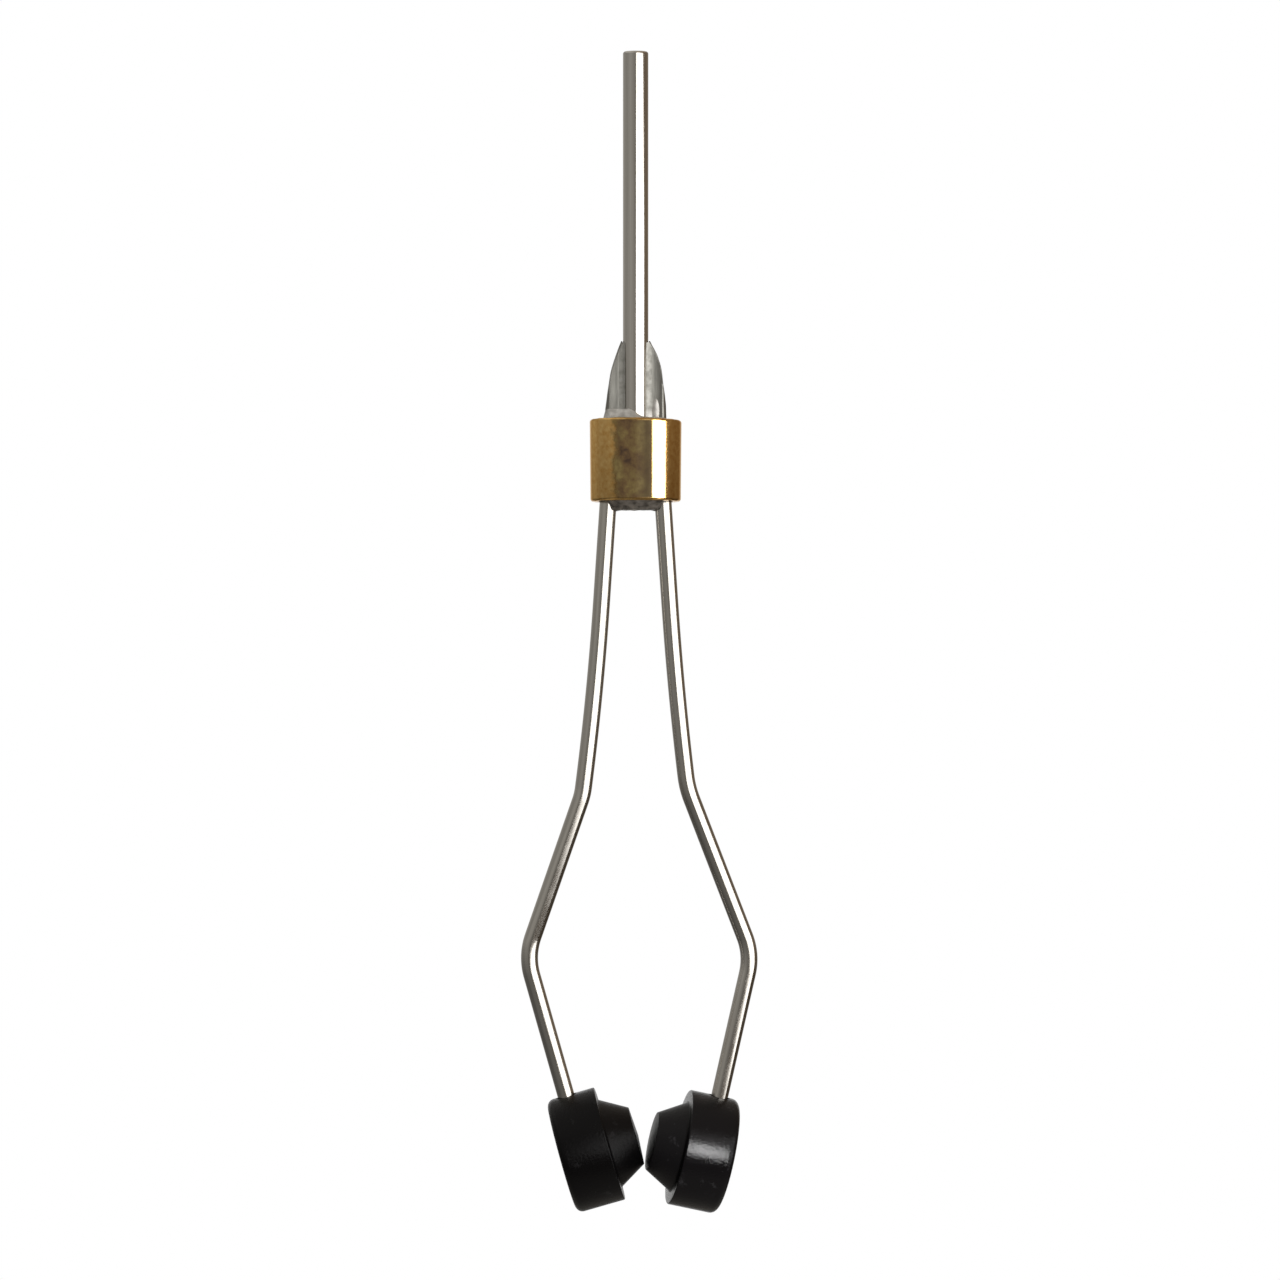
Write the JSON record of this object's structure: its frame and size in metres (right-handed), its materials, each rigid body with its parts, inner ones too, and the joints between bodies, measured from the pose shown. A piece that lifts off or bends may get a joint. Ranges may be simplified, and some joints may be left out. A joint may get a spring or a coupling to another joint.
{
  "type": "fly tying bobbin holder",
  "caption": "Hand-held bobbin holder: a slim steel thread tube in a brass collar, with sprung wire legs whose coned plastic feet grip a thread spool.",
  "frame": {"origin": "centre of the brass collar on the thread tube's axis", "axes": "+Z along the thread tube towards its free end, with both legs in the XZ plane; the side seen in the picture faces -Y"},
  "size_m": [0.0221, 0.0111, 0.1086],
  "materials": {
    "stainless_tube": "drawn stainless steel tube, lightly polished",
    "spring_wire": "drawn stainless spring wire, satin, ground at the tips",
    "brass": "turned brass tube, bright with faint turning lines",
    "silver_braze": "grey filler as it set, slightly rough",
    "black_plastic": "turned black plastic, satin"
  },
  "bodies": {
    "root": {"thread_tube": "stainless_tube", "brass_collar": "brass", "silver_braze": "silver_braze", "left_wire_root": "spring_wire", "right_wire_root": "spring_wire"},
    "left_leg": {"left_leg": "spring_wire"},
    "right_leg": {"right_leg": "spring_wire"},
    "left_foot": {"left_foot": "black_plastic"},
    "right_foot": {"right_foot": "black_plastic"}
  },
  "joints": [
    {"name": "left_leg_flex", "type": "hinge", "parent": "root", "child": "left_leg", "pos_m": [-0.00318, 0, -0.01315], "axis": [0, 1, 0], "range_deg": [0, 15], "stiffness_Nm_per_rad": 2.2},
    {"name": "right_leg_flex", "type": "hinge", "parent": "root", "child": "right_leg", "pos_m": [0.00318, 0, -0.01315], "axis": [0, -1, 0], "range_deg": [0, 15], "stiffness_Nm_per_rad": 2.2},
    {"name": "left_foot_swivel", "type": "hinge", "parent": "left_leg", "child": "left_foot", "pos_m": [-0.00503, 0, -0.06467], "axis": [0.2728, 0, -0.9621], "range_deg": [-11, 13]},
    {"name": "right_foot_swivel", "type": "hinge", "parent": "right_leg", "child": "right_foot", "pos_m": [0.00666, 0, -0.0648], "axis": [0.2206, 0, 0.9754], "range_deg": [-17.5, 6.5]}
  ]
}
